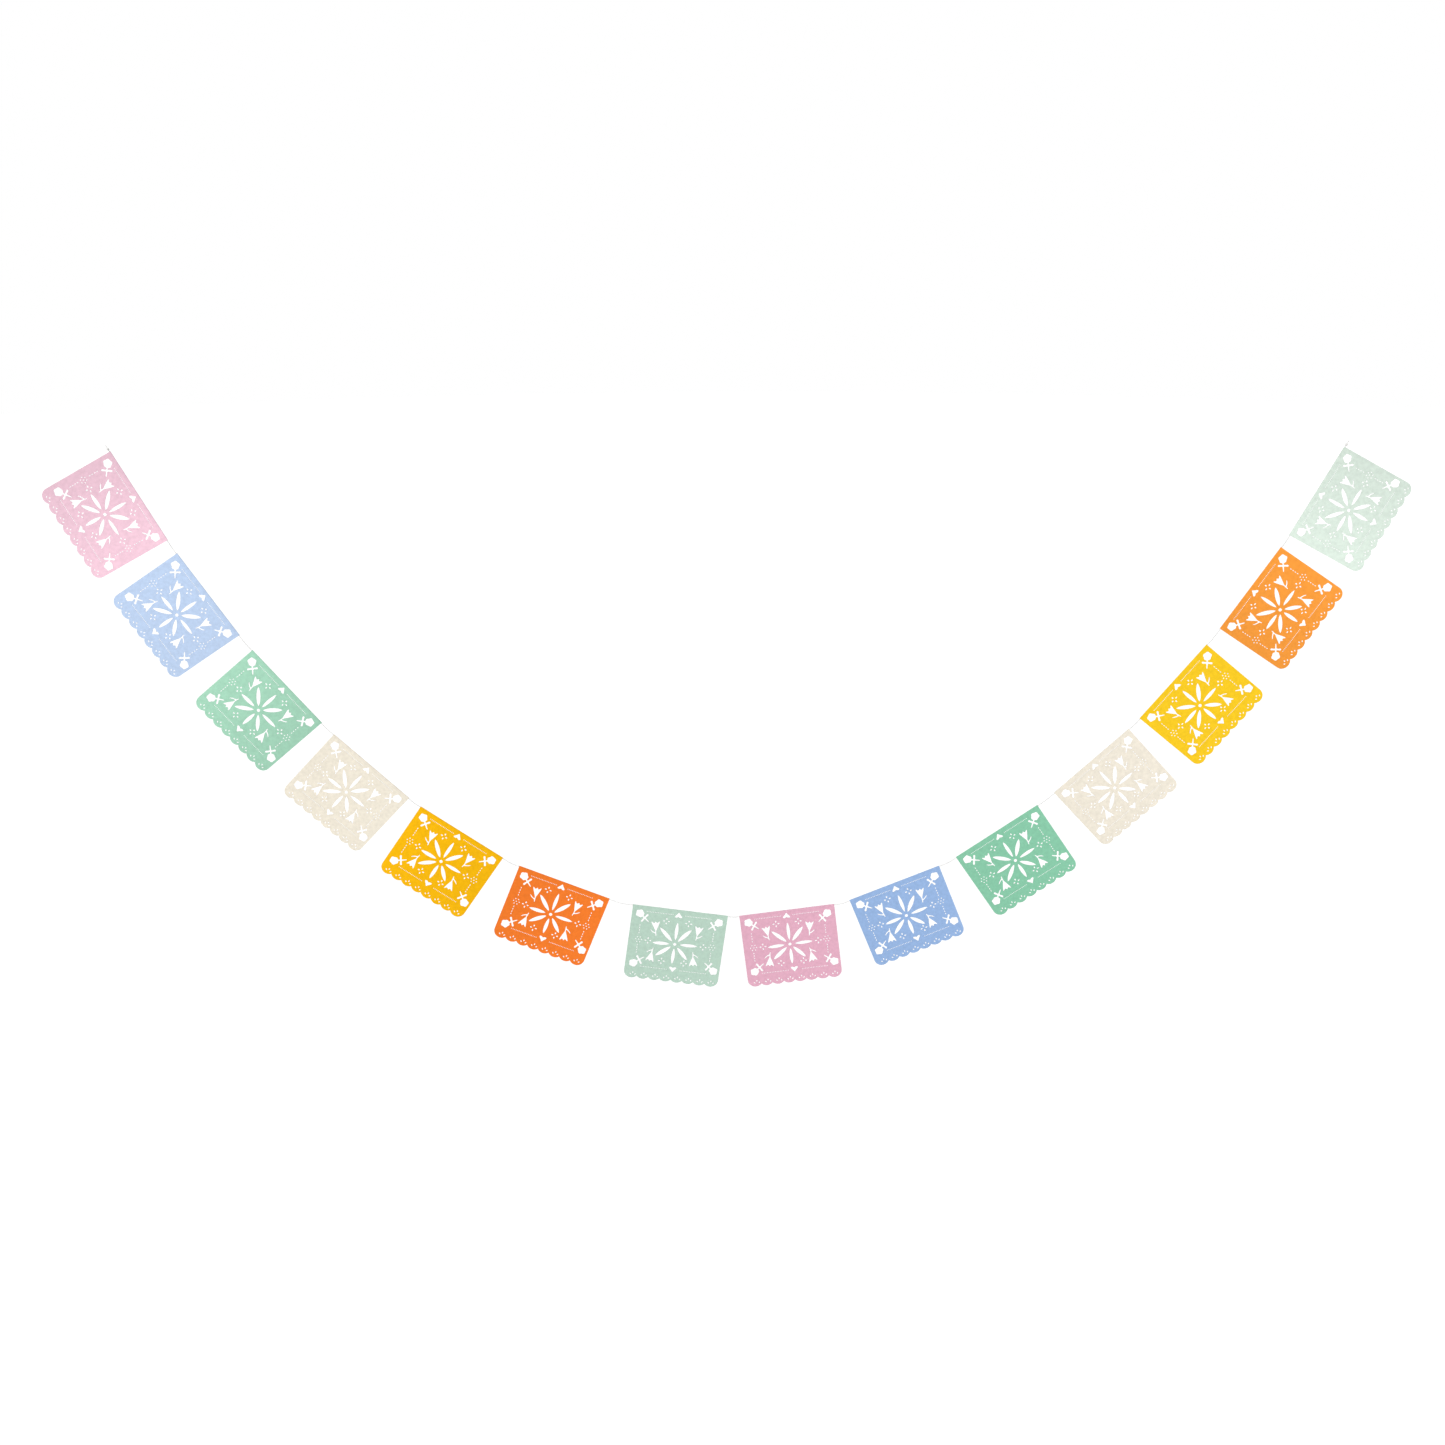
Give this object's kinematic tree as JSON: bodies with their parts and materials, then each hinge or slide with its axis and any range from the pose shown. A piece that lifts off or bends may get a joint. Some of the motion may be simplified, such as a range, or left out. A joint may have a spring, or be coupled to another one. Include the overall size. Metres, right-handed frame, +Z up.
{
  "type": "papel picado banner",
  "caption": "Festive bunting of cut paper panels in soft colours with a flower, roses, tulips and hearts cut out and a scalloped lower edge, folded over one string that hangs in a deep curve.",
  "frame": {"origin": "middle of the knot at the left end of the string, where the banner is tied up", "axes": "+X to the right along the banner, +Z up, and the front of the paper faces -Y"},
  "size_m": [2.4193, 0.005, 1.0425],
  "materials": {
    "paper_pink": "matte",
    "paper_blue": "matte",
    "paper_green": "matte",
    "paper_cream": "matte",
    "paper_yellow": "matte",
    "paper_orange": "matte",
    "paper_mint": "matte",
    "cotton_string": "matte"
  },
  "bodies": {
    "root": {"panel_01_pink": "paper_pink", "panel_02_blue": "paper_blue", "panel_03_green": "paper_green", "panel_04_cream": "paper_cream", "panel_05_yellow": "paper_yellow", "panel_06_orange": "paper_orange", "panel_07_mint": "paper_mint", "panel_08_pink": "paper_pink", "panel_09_blue": "paper_blue", "panel_10_green": "paper_green", "panel_11_cream": "paper_cream", "panel_12_yellow": "paper_yellow", "panel_13_orange": "paper_orange", "panel_14_mint": "paper_mint", "hanging_string": "cotton_string"}
  },
  "joints": []
}
